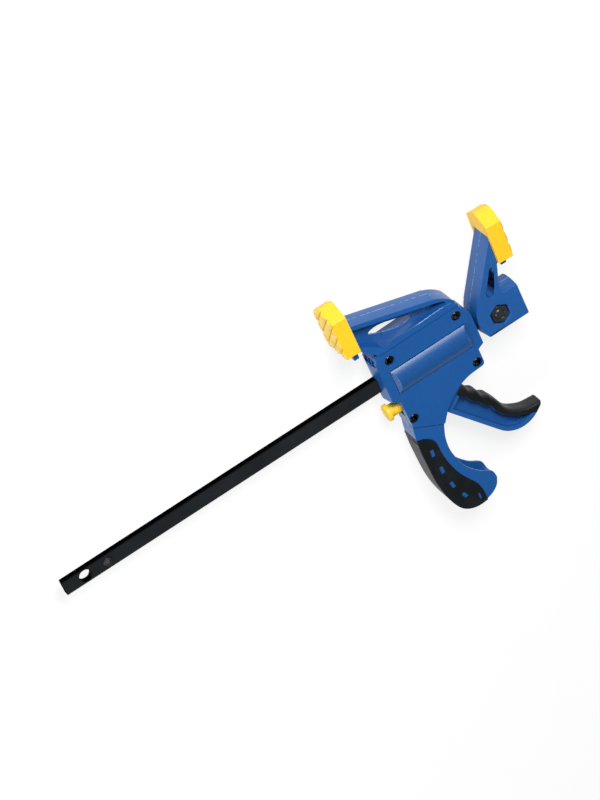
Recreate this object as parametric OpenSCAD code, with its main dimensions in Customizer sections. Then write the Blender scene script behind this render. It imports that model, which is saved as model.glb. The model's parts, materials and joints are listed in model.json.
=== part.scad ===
// One-handed bar clamp, shown set up as a spreader.
// X runs along the bar from its free end to the fixed jaw, Y is the way the jaws stand up,
// and Z goes through the clamp's thickness. Sizes are in millimetres.
// The clamp lies on its side: the origin is below the middle of its box.

/* [Bar] */
// Length of the steel bar
bar_length = 526.4; // [420:0.1:900]
// Height of the bar section, in the jaws' plane
bar_width = 16; // [13:0.1:18]
// Thickness of the bar section
bar_thick = 8.5; // [6:0.1:9]
// Chamfer on the bar's long edges
bar_chamfer = 0.8; // [0.2:0.1:1.5]
// Distance from each bar end to the jaw bolt hole
bolt_hole_inset = 24; // [18:0.1:30]
// Diameter of the jaw bolt hole at each end
bolt_hole_d = 13.3; // [11:0.1:13.5]
// Distance from the free end to the stop pin
stop_pin_inset = 49; // [40:0.5:80]
// Outer diameter of the slotted stop pin
stop_pin_d = 9.2; // [6:0.1:10]
// Wall of the stop pin
stop_pin_wall = 1.4; // [0.8:0.1:2]
// How far the stop pin stands out on each side
stop_pin_proud = 1.6; // [1:0.1:3]

/* [Fits] */
// Gap between the bar and the plastic around it, each side
bar_gap = 0.3; // [0.15:0.05:0.6]
// Gap round parts that turn or slide in another part
run_gap = 0.3; // [0.2:0.05:0.6]
// Radial gap between the trigger pin and its hole
pin_gap = 0.06; // [0.02:0.01:0.1]
// Visible seam between the cover and the body
seam_gap = 0.8; // [0.1:0.05:1]
// Gap between the body and the fixed jaw when fully run back
rest_gap = 3; // [2:0.1:20]

/* [Body] */
// Thickness of the body's side, from the bar's middle plane to its face
body_half = 15; // [13.5:0.1:20]
// Height above the middle plane at which the cover is split off
split_z = 6; // [5:0.1:8]
// Length of the body along the bar
body_length = 108; // [104:0.5:125]
// Height of the seam between jaw and cover above the bar's axis
seam_y = 36.5; // [33:0.5:42]
// How far the front face bulges at its middle
front_crown = 3; // [0:0.1:4]
// Half the height of the long ridge on each side
ridge_half = 14.3; // [12:0.1:15]
// How far the ridge stands out
ridge_high = 5.5; // [3:0.1:7]
// Length of the ridge
ridge_length = 88; // [70:1:92]
// Length of the sloped ends of the ridge
ridge_slope = 4.5; // [2:0.5:9]

/* [Jaws] */
// Height of the moving jaw's upper edge at the pad
jaw_reach = 81; // [76:0.5:110]
// Half the width of the moving jaw's flange
flange_half = 12.5; // [10:0.1:14]
// Thickness of the moving jaw's upper flange
flange_thick = 5; // [3:0.1:8]
// How far the flanges bulge along their middle
flange_crown = 1.5; // [0:0.1:3]
// Half the thickness of the jaws' webs
web_half = 2; // [1.2:0.1:4]
// Half the width of the fixed jaw
fixed_half = 15; // [12.5:0.1:18]
// Height of the fixed jaw's bottom face below the bar's axis
fixed_drop = 16.2; // [14:0.1:20]
// Distance from the jaw bolt to the fixed jaw's front
fixed_front = 24.4; // [20:0.1:30]
// Distance from the jaw bolt to the fixed jaw's back
fixed_back = 27.4; // [26:0.1:34]
// Lean of the fixed jaw's pad, which takes up the bar's flex
pad_lean = 2.2; // [0:0.1:6]

/* [Jaw bolt] */
// Diameter of the jaw bolt
bolt_d = 10; // [8:0.5:10]
// Width across the flats of the nut and the bolt head
nut_flats = 17; // [13:0.5:17]
// Thickness of the nut and the bolt head
nut_thick = 5.6; // [4:0.1:7]
// Width across the flats of the recess for nut and bolt head
recess_flats = 20; // [18:0.1:21]
// How deep the nut's outer face lies below the jaw's face
nut_sunk = 1.2; // [0.4:0.1:3]

/* [Pads] */
// Width of a jaw pad
pad_width = 42; // [36:0.5:60]
// Height of a jaw pad's straight sides
pad_side = 43; // [36:0.5:60]
// Extra height of the pad's gable
pad_gable = 9.5; // [4:0.5:16]
// Thickness of a pad, with its gripping blocks
pad_thick = 17.2; // [15:0.1:22]
// Depth of the grooves between the gripping blocks
pad_groove = 2; // [0.5:0.1:3]
// Width of those grooves at their bottom
pad_groove_w = 0.8; // [0.6:0.1:3]
// Bevel round the pad's face
pad_bevel = 1.2; // [0.4:0.1:2]
// Distance between those grooves, up the pad
pad_pitch = 13.6; // [9:0.1:24]
// Turn of the grooves on the pad's face
pad_groove_turn = 43; // [20:1:60]
// How much each block of the pad's face is crowned
pad_crown = 1.4; // [0.2:0.1:1.8]
// Width of the flat land along the middle of each crowned block
pad_land = 3; // [1:0.1:5]
// Thickness of the jaw plate that the pad slips over
plate_thick = 6; // [4:0.1:8]
// Half the width of the jaw plate
plate_half = 15.5; // [14:0.1:18]
// Thickness of the pad in front of the jaw plate
pad_skin = 8.2; // [6:0.1:10]
// How far the moving jaw's plate stands out below its pad
plate_show = 9; // [4:0.5:14]
// How far the fixed jaw's plate stands out below its pad
plate_show_fixed = 6; // [1:0.5:14]

/* [Handle] */
// Half the width of the handle
handle_half = 13; // [11:0.1:16]
// Wall of the handle's two sides
handle_wall = 2.8; // [2:0.1:4]
// Wall along the handle's front
handle_spine = 3.6; // [2.5:0.1:6]
// Thickness of the rubber let into the handle
grip_depth = 1.2; // [0.8:0.1:2]
// How far that rubber stands out
grip_proud = 0.4; // [0.1:0.1:1]

/* [Trigger] */
// Distance of the trigger pin below the bar's axis
pivot_drop = 36; // [34:0.1:40]
// Distance of the trigger pin behind the body's front
pivot_x = 61; // [56:0.1:66]
// Diameter of the trigger pin
trigger_pin_d = 6; // [4:0.1:8]
// Length of the arm from the pin to the nose that pushes the drive plates
nose_arm = 16; // [14:0.1:17]
// Radius of that nose
nose_r = 3; // [2:0.1:4]
// How far the trigger swings
trigger_swing = 30; // [16:1:32]
// Half the width of the trigger
trigger_half = 9.6; // [8:0.1:10]
// Thickness of the trigger's rim
trigger_rim = 4.5; // [3:0.1:6]
// Half the thickness of the trigger's web
trigger_web = 1.5; // [1:0.1:3]
// Thickness of the rubber on the trigger
rubber_thick = 10; // [7:0.1:12]

/* [Mechanism] */
// Thickness of one drive plate
drive_plate = 2.6; // [2:0.1:3.2]
// Number of drive plates
drive_plates = 2; // [1:1:3]
// Half the width of the drive plates
drive_half = 10; // [8:0.1:11]
// Thickness of the brake plate
brake_plate = 4; // [3:0.1:5]
// Half the width of the brake plate
brake_half = 9.5; // [8:0.1:11]
// Tilt of the brake plate when it grips the bar
brake_tilt = 4.5; // [3:0.1:5]
// Outer diameter of the drive spring
drive_spring_d = 24; // [22.5:0.1:25]
// Wire of the drive spring
drive_wire = 1.8; // [1.2:0.1:2]
// Number of turns in the drive spring
drive_turns = 5; // [3:1:8]
// Outer diameter of the brake spring
brake_spring_d = 8; // [6:0.1:9]
// Wire of the brake spring
brake_wire = 1; // [0.7:0.1:1.2]
// Number of turns in the brake spring
brake_turns = 4; // [3:1:6]

/* [Release button] */
// Diameter of the button's head
button_d = 18.2; // [14:0.1:19]
// Thickness of the button's head
button_head = 4.6; // [3:0.1:6]
// Diameter of the button's stem
button_stem = 13.2; // [9:0.1:14]
// Distance of the button below the bar's axis
button_drop = 35; // [33:0.1:36]
// How far the button stands in front of the body's front
button_out = 7.8; // [6:0.1:12]
// How far the opening in the front reaches below the button's axis
button_slot = 11; // [8:0.5:12]

/* [Screws] */
// Diameter of a cover screw's head
screw_head_d = 9.2; // [7:0.1:9.4]
// Diameter of the recess round a screw head
screw_recess_d = 10.3; // [9.3:0.1:11]
// Depth of that recess
screw_recess = 3.2; // [2:0.1:4]
// Height of a screw head
screw_head_h = 2.6; // [1.5:0.1:3]
// Diameter of a screw's shank
screw_d = 3.9; // [3:0.1:4.5]
// Length of a screw's shank
screw_length = 16; // [12:0.5:20]

/* [Hidden] */
$fn = 64;
eps = 0.01;

blue = [0.10, 0.30, 0.66];
yellow = [1.0, 0.80, 0.16];
black = [0.10, 0.11, 0.12];
steel = [0.62, 0.63, 0.65];

// Places along the bar: the jaw bolt's axis and the body's front.
bolt_x = bar_length - bolt_hole_inset;
body_x = bolt_x - fixed_front - rest_gap - body_length;

// Middle of the moving pad's back face, from the body's front on the bar's axis.
moving_pad_at = [-8, jaw_reach - 3.5];
// Middle of the fixed pad's back face, from the jaw bolt.
fixed_pad_at = [18.6, jaw_reach - 5];
pad_top = pad_side / 2 + pad_gable;

// Places in the body, from its front on the bar's axis.
pivot = [pivot_x, -pivot_drop];
screw_places = [[15, 25.1], [body_length - 14.1, 26.5], [body_length - 13.5, -33], [13, -48.2]];
seam_left = 7;
lower_front = 8;
button_wall = 3;
brake_pivot = [20, 14];
brake_foot = 43;
brake_top = 16.4;
brake_spring_drop = 20;
partition_x = 30;
spring_seat = 2;
drive_top = 13;
drive_foot = 25;
rear_wall_x = body_length - 11;
chamber_half = 10.5;

// The trigger's nose starts leaning forward and ends leaning back by the same angle.
nose_lean = trigger_swing / 2;
drive_travel = 2 * nose_arm * sin(nose_lean);
nose_at = pivot + nose_arm * [-sin(nose_lean), cos(nose_lean)];
drive_x = nose_at[0] + nose_r + run_gap;
drive_back = drive_x + drive_plates * drive_plate;

// The brake plate's foot moves by this much when the button straightens it.
brake_stroke = (button_drop + brake_pivot[1]) * tan(brake_tilt) - 0.1;
brake_face_x = brake_pivot[0] - (button_drop + brake_pivot[1]) * tan(brake_tilt)
    - brake_plate / 2 / cos(brake_tilt);

// Front and bottom edge of the handle, from the body downwards and round to its tip.
handle_front = curve([[8, -57.5], [6.2, -70], [5.3, -86.4], [5.3, -98.3], [6.4, -127.8],
    [10.5, -150.9], [17.8, -169.5], [27.5, -178], [40, -180.5], [53, -177.4],
    [61.5, -171.3], [65.2, -163]], 4);
// Rear edge of the handle, from the seam down to the same tip.
handle_rear = curve([[38.7, -74], [34.5, -87], [33, -101.6], [35.1, -115.6], [40.4, -131.1],
    [50.8, -144.7], [59.5, -151], [63.8, -155.5], [65.2, -163]], 4);
// Edge between the rubber and the plastic on the handle's side.
grip_edge = curve([[6, -73.4], [12.4, -75.4], [17, -78.4], [21.4, -82.9], [23.5, -89.2],
    [23.7, -95.8], [24.2, -103.6], [25.7, -113.9], [28.9, -126.4], [32.9, -136.8],
    [38.3, -146.3], [42.8, -153.8], [45.9, -162.6], [47, -171], [46.6, -184]], 3);
// Middle, turn, length and width of each window in the rubber.
grip_windows = [[[15.1, -96.1], -4, 8.6, 3.8], [[16.9, -119.2], 0, 8.6, 3.8],
    [[20.2, -141.1], 11, 8.2, 3.8], [[27.3, -159.9], 23, 7.2, 3.8], [[40.8, -170.7], -1, 7, 2.1]];

// The blade of the trigger is drawn along its straight lower edge.
blade_at = pivot + [-13.1, -31.4];
blade_turn = -52.1;
blade_straight = 67;
blade_r = 30;
scallop_pitch = 16;
scallop_high = 1.1;

// The origin lies below the middle of the clamp's box.
handle_low = min([for (p = beside(handle_front, -grip_proud)) p[1]]);
box_x1 = bolt_x + fixed_pad_at[0] + pad_thick * cos(pad_lean)
    + (pad_top - pad_bevel) * sin(pad_lean);
box_y1 = moving_pad_at[1] + pad_top;
frame_shift = [-box_x1 / 2, -(box_y1 + handle_low) / 2, pad_width / 2];

echo(body_x = body_x, box_x1 = box_x1, box_y1 = box_y1, handle_low = handle_low);
echo(frame_shift = frame_shift, drive_travel = drive_travel, brake_stroke = brake_stroke);
echo(drive_gap = coil_gap(drive_turns, rear_wall_x - drive_back - run_gap, drive_wire),
    brake_gap = coil_gap(brake_turns, brake_spring_length(), brake_wire));

// ---------- helpers ----------

// Moves a drawing from the bar's axis to the clamp's frame.
module placed() {
    translate(frame_shift) children();
}

// The same for a drawing made from the body's front.
module on_body() {
    placed() translate([body_x, 0, 0]) children();
}

// The same for a drawing made from the jaw bolt.
module on_bolt() {
    placed() translate([bolt_x, 0, 0]) children();
}

// Extrudes an outline evenly to both sides of the middle plane.
module slab(half) {
    translate([0, 0, -half]) linear_extrude(height = 2 * half) children();
}

// Extrudes an outline between two heights.
module layer(z0, z1) {
    translate([0, 0, z0]) linear_extrude(height = z1 - z0) children();
}

// Extrudes an outline of Y and Z along X.
module along_x(x0, x1) {
    translate([x0, 0, 0]) rotate([90, 0, 90]) linear_extrude(height = x1 - x0) children();
}

// Extrudes an outline of X and Z along Y.
module along_y(y0, y1) {
    translate([0, y1, 0]) rotate([90, 0, 0]) linear_extrude(height = y1 - y0) children();
}

// A round rod along X.
module rod_x(x0, x1, d) {
    translate([x0, 0, 0]) rotate([0, 90, 0]) cylinder(h = x1 - x0, d = d);
}

// A hexagon by its width across flats, with corners up and down.
module hexagon(flats) {
    rotate(90) circle(d = flats / cos(30), $fn = 6);
}

// A smooth open curve through the points, with n steps from one to the next.
function curve(p, n) = [
    for (i = [0 : len(p) - 2]) for (k = [0 : (i == len(p) - 2 ? n : n - 1)])
        curve_at(p, i, k / n)
];

function curve_at(p, i, t) =
    let (b = p[i], c = p[i + 1])
    let (a = i == 0 ? 2 * b - c : p[i - 1])
    let (d = i + 2 > len(p) - 1 ? 2 * c - b : p[i + 2])
    0.5 * (2 * b + (c - a) * t + (2 * a - 5 * b + 4 * c - d) * t * t
        + (3 * b - a - 3 * c + d) * t * t * t);

// A smooth closed curve through the points.
function ring(p, n) = [
    for (i = [0 : len(p) - 1]) for (k = [0 : n - 1])
        curve_at([for (j = [-1 : 2]) p[(i + j + len(p)) % len(p)]], 1, k / n)
];

// An open curve moved to the left of its direction.
function beside(p, gap) = [
    for (i = [0 : len(p) - 1])
        let (d = p[min(i + 1, len(p) - 1)] - p[max(i - 1, 0)])
        p[i] + gap * [-d[1], d[0]] / norm(d)
];

function backwards(p) = [for (i = [len(p) - 1 : -1 : 0]) p[i]];

// Points on an arc about a centre.
function arc(centre, r, a0, a1, n = 12) = [
    for (k = [0 : n]) let (a = a0 + (a1 - a0) * k / n) centre + r * [cos(a), sin(a)]
];

// ---------- coil springs ----------

// Places along the spring's axis: the first and last turns lie close, the others are even.
function coil_rise(turns, u) =
    let (shut = 0.5)
    u < shut / turns ? u * 0.35
    : u > 1 - shut / turns ? 1 - (1 - u) * 0.35
    : shut / turns * 0.35
        + (u - shut / turns) * (1 - 2 * shut / turns * 0.35) / (1 - 2 * shut / turns);

// Least gap between neighbouring turns, from the first ring on.
function coil_gap(turns, length, wire) =
    min([for (k = [0 : turns * 8 - 8])
        (coil_rise(turns, (k + 8) / (turns * 8)) - coil_rise(turns, k / (turns * 8)))
            * (length - wire) - wire]);

// An unbroken coil of round wire along X, with 8 rings of 6 sides in a turn.
module coil(length, outer, wire, turns) {
    rings = turns * 8;
    r = (outer - wire) / 2;
    points = [for (k = [0 : rings]) for (j = [0 : 5])
        let (a = 360 * k / 8, b = 60 * j, out = r + wire / 2 * cos(b))
        [wire / 2 + coil_rise(turns, k / rings) * (length - wire) + wire / 2 * sin(b),
            out * cos(a), out * sin(a)]];
    sides = [for (k = [0 : rings - 1]) for (j = [0 : 5]) for (half = [0, 1])
        let (p = k * 6 + j, q = k * 6 + (j + 1) % 6)
        half == 0 ? [p, p + 6, q] : [q, p + 6, q + 6]];
    ends = [for (j = [1 : 4]) for (half = [0, 1])
        half == 0 ? [0, j, j + 1] : [rings * 6, rings * 6 + j + 1, rings * 6 + j]];
    polyhedron(points = points, faces = concat(sides, ends), convexity = 10);
}

// ---------- bar ----------

// Chamfered outline of the bar's section.
module bar_section() {
    h = bar_width / 2;
    t = bar_thick / 2;
    c = bar_chamfer;
    polygon([[-h + c, -t], [h - c, -t], [h, -t + c], [h, t - c],
        [h - c, t], [-h + c, t], [-h, t - c], [-h, -t + c]]);
}

// The slot that the bar runs in.
module bar_slot(x0, x1) {
    along_x(x0, x1) square([bar_width + 2 * bar_gap, bar_thick + 2 * bar_gap], center = true);
}

module bar() {
    placed() color(black) difference() {
        along_x(0, bar_length) bar_section();
        for (x = [bolt_hole_inset, bolt_x])
            translate([x, 0, -bar_thick]) cylinder(h = 2 * bar_thick, d = bolt_hole_d);
        translate([stop_pin_inset, 0, -bar_thick]) cylinder(h = 2 * bar_thick, d = stop_pin_d);
    }
}

// The slotted pin that keeps the body on the bar.
module stop_pin() {
    half = bar_thick / 2 + stop_pin_proud;
    lead = 0.6;
    bore = stop_pin_d - 2 * stop_pin_wall;
    placed() translate([stop_pin_inset, 0, 0]) color(black) difference() {
        union() {
            translate([0, 0, -half + lead]) cylinder(h = 2 * (half - lead), d = stop_pin_d);
            for (m = [0, 1]) mirror([0, 0, m]) translate([0, 0, half - lead])
                cylinder(h = lead, d1 = stop_pin_d, d2 = stop_pin_d - 2 * lead);
        }
        translate([0, 0, -half - 1]) cylinder(h = 2 * half + 2, d = bore);
        translate([0, -0.6, -half - 1]) cube([stop_pin_d, 1.2, 2 * half + 2]);
    }
}

// ---------- pads and the plates that carry them ----------

// Gabled outline seen from the front, as Y and Z.
module gable(half, foot, shoulder, top) {
    polygon([[foot, -half], [shoulder, -half], [top, -2.5], [top, 2.5],
        [shoulder, half], [foot, half]]);
}

plate_x = pad_thick - pad_skin - plate_thick;
plate_side = pad_side / 2 - 4;
// Height to which a jaw's arm reaches behind the plate, from the pad's middle.
arm_in_pad = 8;
plate_top = pad_top - 6;

// The jaw's plate, which the pad slips over. Its pad's back face is at x = 0.
module pad_plate(show, grow = 0) {
    along_x(plate_x - grow, plate_x + plate_thick + grow)
        gable(plate_half + grow, -pad_side / 2 - show, plate_side, plate_top + grow);
}

// The pad's block with its front edges bevelled.
module pad_block() {
    side = pad_side / 2;
    half = pad_width / 2;
    face = pad_thick - pad_bevel;
    intersection() {
        along_x(0, pad_thick) gable(half, -side, side, pad_top);
        slab(half) polygon([[0, -side], [face, -side], [pad_thick, pad_bevel - side],
            [pad_thick, pad_top - pad_bevel], [face, pad_top], [0, pad_top]]);
        along_y(-side, pad_top) polygon([[0, -half], [face, -half], [pad_thick, pad_bevel - half],
            [pad_thick, half - pad_bevel], [face, half], [0, half]]);
    }
}

// The blocks of the pad's face: slanting strips, crowned on both sides of a flat land, with a
// groove between each two.
module pad_blocks() {
    floor_x = pad_thick - pad_groove;
    half = (pad_pitch * cos(pad_groove_turn) - pad_groove_w) / 2;
    r = (half * half + pad_crown * pad_crown) / 2 / pad_crown;
    swing = asin(half / r);
    land = asin(pad_land / 2 / r);
    mid = [pad_thick - r * cos(land), 0];
    along_x(-1, floor_x) square(4 * pad_side, center = true);
    for (k = [-4 : 3]) translate([0, (k + 0.5) * pad_pitch, 0]) rotate([pad_groove_turn, 0, 0])
        slab(2 * pad_side) polygon(concat([[floor_x - 1, half], [floor_x - 1, -half]],
            arc(mid, r, -swing, -land, 3), arc(mid, r, land, swing, 3)));
}

// A cap of soft plastic with slanting gripping blocks on its face.
module pad() {
    fit = 0.1;
    difference() {
        intersection() {
            pad_block();
            pad_blocks();
        }
        pad_plate(pad_side, fit);
        // The way in for the jaw behind its plate.
        along_x(-1, plate_x + eps) translate([-pad_side, -fixed_half - fit])
            square([pad_side + arm_in_pad + run_gap, 2 * (fixed_half + fit)]);
    }
}

module fixed_pad() {
    on_bolt() translate(fixed_pad_at) rotate(-pad_lean) color(yellow) pad();
}

module moving_pad() {
    on_body() translate(moving_pad_at) rotate([0, 180, 0]) color(yellow) pad();
}

// ---------- fixed jaw ----------

// Middle and radius of the fixed jaw's round lower front corner.
nose_mid = [32 - fixed_front, 2];
corner_r = 32;
arm_turn = 147.9;
arm_root = nose_mid + corner_r * [cos(arm_turn), sin(arm_turn)];
arm_way = [sin(arm_turn), -cos(arm_turn)];
arm_top = arm_root + arm_way * (fixed_pad_at[1] + arm_in_pad - arm_root[1]) / arm_way[1];
hump_edge = 19;
hump_top = 22;

module fixed_outline() {
    foot_turn = 180 + asin((fixed_drop + nose_mid[1]) / corner_r);
    polygon(concat(
        [[fixed_back, -fixed_drop], [fixed_back, hump_edge - 0.3]],
        arc([14, hump_edge + 3.7], 4, -90, -180, 6),
        [[10.8, 33], [12.4, 37], [fixed_pad_at[0] - 1.6, 52], fixed_pad_at + [plate_x - 1.8, -22],
            fixed_pad_at + [plate_x + 0.5, arm_in_pad], arm_top],
        arc(nose_mid, corner_r, arm_turn, foot_turn, 16)));
}

// The bulge along the middle of the arm's outer face.
module fixed_crown() {
    edge = fixed_half - 0.5;
    section = [[-3, -edge], [-0.2, -edge], [flange_crown, 0], [-0.2, edge], [-3, edge]];
    length = norm(arm_top - arm_root) - 1;
    foot_turn = 180 + asin((fixed_drop + nose_mid[1]) / corner_r);
    translate(arm_root) rotate([90, 0, arm_turn]) linear_extrude(height = length)
        polygon(section);
    translate(nose_mid) rotate(arm_turn) rotate_extrude(angle = foot_turn - arm_turn)
        translate([corner_r, 0]) polygon(section);
}

// Tapered slot through the arm.
module fixed_slot() {
    low = [-0.8, 27.5];
    high = [9.3, 50.5];
    low_r = 4.8;
    high_r = 2;
    way = (high - low) / norm(high - low);
    side = [-way[1], way[0]];
    translate(low) circle(r = low_r);
    translate(high) circle(r = high_r);
    polygon([low + side * low_r, high + side * high_r, high - side * high_r, low - side * low_r]);
}

module fixed_jaw() {
    on_bolt() color(blue) difference() {
        union() {
            slab(fixed_half) fixed_outline();
            fixed_crown();
            intersection() {
                translate([0, hump_mid(), 0]) rod_x(8, fixed_back, 2 * hump_r());
                along_x(8, fixed_back) translate([-fixed_drop, -fixed_half])
                    square([fixed_drop + hump_top + 1, 2 * fixed_half]);
            }
            translate(fixed_pad_at) rotate(-pad_lean) pad_plate(plate_show_fixed);
        }
        bar_slot(-fixed_front - flange_crown - 2, bolt_hole_inset + bar_gap);
        translate([0, 0, -fixed_half - 1]) cylinder(h = 2 * fixed_half + 2, d = bolt_d + 0.4);
        for (m = [0, 1]) mirror([0, 0, m])
            layer(fixed_half - nut_sunk - nut_thick, fixed_half + 1) hexagon(recess_flats);
        slab(fixed_half + 1) fixed_slot();
    }
}

// Radius and middle of the arched hump behind the arm.
function hump_r() = (pow(fixed_half, 2) + pow(hump_top - hump_edge, 2))
    / 2 / (hump_top - hump_edge);
function hump_mid() = hump_top - hump_r();

// Bolt through jaw and bar, its head on the far side.
module jaw_bolt() {
    face = fixed_half - nut_sunk;
    on_bolt() color(black) {
        layer(-face, -face + nut_thick) hexagon(nut_flats);
        translate([0, 0, -face + nut_thick - eps])
            cylinder(h = 2 * face - nut_thick - 0.8 + eps, d = bolt_d);
        translate([0, 0, face - 0.8 - eps]) cylinder(h = 1, d1 = bolt_d, d2 = bolt_d - 2);
    }
}

module jaw_nut() {
    face = fixed_half - nut_sunk;
    on_bolt() color(black) difference() {
        intersection() {
            layer(face - nut_thick, face) hexagon(nut_flats);
            translate([0, 0, face - nut_thick])
                cylinder(h = nut_thick, r1 = nut_flats * 0.57 + nut_thick * 1.6,
                    r2 = nut_flats * 0.535);
        }
        translate([0, 0, face - nut_thick - 1]) cylinder(h = nut_thick + 2, d = bolt_d + 0.1);
        // Countersink round the bolt's end.
        translate([0, 0, face - 0.9]) cylinder(h = 1, d1 = bolt_d, d2 = bolt_d + 1.8);
    }
}

// Bush that fills the bar's hole round the thinner bolt.
module jaw_bush() {
    half = bar_thick / 2 + bar_gap;
    on_bolt() color(steel) difference() {
        translate([0, 0, -half]) cylinder(h = 2 * half, d = bolt_hole_d - 0.1);
        translate([0, 0, -half - 1]) cylinder(h = 2 * half + 2, d = bolt_d + 0.1);
    }
}

// ---------- body ----------

// Outline of the body's housing below the jaw, with the cover's seams pulled in by a gap.
module body_outline(gap = 0) {
    polygon(concat(
        [[seam_left, seam_y - gap], [2.5, 33], [0, 29], [0, -18.5], [lower_front - 0.6, -22.5],
            [lower_front, -57.5 + gap], [38.7, -74 + gap]],
        curve([[39.2, -73.2], [46.6, -62.8], [55.2, -53.8], [67, -46], [79.6, -41.1],
            [body_length - 12, -39.6]], 4),
        arc([body_length - 11, -35.5], 4, -90, 0, 4),
        [[body_length - 7, -20.5], [body_length, -17], [body_length, 20.5],
            [body_length - 1.5, 24.5], [body_length - 6.5, 28],
            [body_length - 7.8, seam_y - gap]]));
}

// The body's front face bulges towards its middle.
module front_bulge() {
    along_y(-18.5, 25.6) polygon([[1, -body_half], [0, -body_half], [-front_crown, -1.5],
        [-front_crown, 1.5], [0, body_half], [1, body_half]]);
}

// The long ridge over the drive spring, with sloping ends.
module ridge() {
    r = (pow(ridge_half, 2) + pow(ridge_high, 2)) / 2 / ridge_high;
    x0 = (body_length - ridge_length) / 2;
    x1 = x0 + ridge_length;
    intersection() {
        translate([0, 0, body_half + ridge_high - r]) rod_x(x0, x1, 2 * r);
        along_y(-ridge_half - 1, ridge_half + 1)
            polygon([[x0, body_half - 1], [x0, body_half],
                [x0 + ridge_slope, body_half + ridge_high],
                [x1 - ridge_slope, body_half + ridge_high],
                [x1, body_half], [x1, body_half - 1]]);
    }
}

// The jaw's upper edge falls along this line towards the rear.
function jaw_line(x) = jaw_reach + 0.7 - 0.292 * (x + 8);

// Outline of the moving jaw's arm.
module jaw_outline() {
    polygon(concat(
        [[moving_pad_at[0] - plate_x - 1, jaw_line(-12)]],
        curve([[78, jaw_line(78)], [86, 53], [93.5, 47.5], [98.5, 41],
            [body_length - 7.5, 30]], 4),
        [[8, 30], [8, seam_y - 2.5], [1.2, 43], [moving_pad_at[0], 51],
            [moving_pad_at[0] - plate_x - 1, 51]]));
}

// Hollow on each side of the moving jaw, down to its web.
module jaw_hollow() {
    back = moving_pad_at[0] - plate_x;
    polygon(concat(
        [[back, jaw_line(back) - flange_thick], [74, jaw_line(74) - flange_thick]],
        curve([[80, jaw_line(80) - flange_thick - 0.6], [88, 47.5], [91, 45]], 3),
        [[88, 43.8], [14, 41.5], [back, 60]]));
}

// Lens-shaped opening through the moving jaw's web.
jaw_window = ring([[10, 56.3], [14, 58.2], [22, 58.6], [34, 56.2], [46, 52.4], [53.5, 49.2],
    [56, 46.8], [53, 44.6], [43, 43.6], [31, 46.2], [19, 50.8], [11.8, 54]], 3);

// The bulge along the middle of the jaw's upper flange.
module jaw_crown() {
    x0 = moving_pad_at[0] - plate_x - 0.5;
    fall = atan(0.292);
    length = (80 - x0) / cos(fall);
    translate([x0, jaw_line(x0), 0]) rotate(-fall)
        along_x(0, length) polygon([[-0.5, -flange_half], [0, -flange_half],
            [flange_crown, 0], [0, flange_half], [-0.5, flange_half]]);
}

module moving_jaw() {
    difference() {
        union() {
            slab(flange_half) jaw_outline();
            jaw_crown();
        }
        for (m = [0, 1]) mirror([0, 0, m]) layer(web_half, body_half) jaw_hollow();
        slab(body_half) polygon(jaw_window);
        // Round marks beside the window.
        for (m = [0, 1]) mirror([0, 0, m])
            for (p = [[18.5, 46.4], [61.5, 46.6]])
                translate([p[0], p[1], web_half - 0.9]) cylinder(h = 5, r = 3.4);
    }
    translate(moving_pad_at) mirror([1, 0, 0]) pad_plate(plate_show);
}

// Band of full thickness between the jaw's hollow and the cover.
module jaw_band() {
    polygon([[seam_left, seam_y], [14.2, 41.5], [88, 43.8], [95, 43],
        [body_length - 8.3, seam_y + 2], [body_length - 7.8, seam_y]]);
}

// Slot in the front above the bar, crossed by two thin ribs.
module front_slot() {
    half = chamber_half;
    rib = 1;
    difference() {
        slab(half) polygon([[-1, 25.6], [-1, 30], [3, 31.5], [7, 28.5], [7, 23.5], [1, 23.5]]);
        for (z = [-half / 3, half / 3])
            layer(z - rib / 2, z + rib / 2) polygon([[-2, 20], [-2, 33], [8, 33], [8, 20]]);
    }
}

// ---------- handle ----------

module handle_outline() {
    polygon(concat(handle_front, backwards(handle_rear)));
}

// The open channel between the handle's two sides.
module handle_channel() {
    inner = beside([for (i = [6 : len(handle_front) - 1]) handle_front[i]], handle_spine);
    polygon(concat([[24, -62], [inner[0][0], -69]], inner,
        [[75, -166], [85, -120], [60, -64], [40, -62]]));
}

// Everything that the rubber fills round the handle's front.
module grip_space() {
    difference() {
        slab(handle_half + grip_proud) intersection() {
            polygon(concat(beside(handle_front, -grip_proud),
                [[64, -160], [38, -80], [20, -58]]));
            polygon(concat([[-5, -73.4]], grip_edge, [[46, -190], [-5, -190]]));
        }
        slab(handle_half - grip_depth)
            polygon(concat(beside(handle_front, grip_depth), [[64, -160], [38, -80], [20, -58]]));
    }
}

module grip_windows_cut() {
    for (w = grip_windows)
        translate(w[0]) rotate(w[1]) square([w[3], w[2]], center = true);
}

module handle_grip() {
    on_body() color(black) difference() {
        grip_space();
        slab(body_half) grip_windows_cut();
    }
}

module handle() {
    difference() {
        slab(handle_half) handle_outline();
        slab(handle_half - handle_wall) handle_channel();
        difference() {
            grip_space();
            slab(body_half + 1) grip_windows_cut();
        }
    }
}

// ---------- spaces inside the body and the cover ----------

// Chamber of the brake plate: narrow at the top, where the plate leans on a rib.
module brake_chamber() {
    polygon([[lower_front + button_wall, -brake_foot - 0.8], [partition_x, -brake_foot - 0.8],
        [partition_x, brake_top + 0.6], [brake_rib_x(), brake_top + 0.6],
        [brake_rib_x(), 10], [lower_front + button_wall, 4]]);
}

function brake_rib_x() = brake_pivot[0] - brake_plate / 2 - 0.7;

module drive_chamber() {
    polygon([[drive_x - run_gap, drive_top + 0.8], [drive_x - run_gap, bar_width / 2],
        [pivot_x - 12, bar_width / 2], [pivot_x - 12, -drive_foot - 1],
        [drive_back + drive_travel + 4, -drive_foot - 1],
        [drive_back + drive_travel + 4, drive_top + 0.8]]);
}

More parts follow.
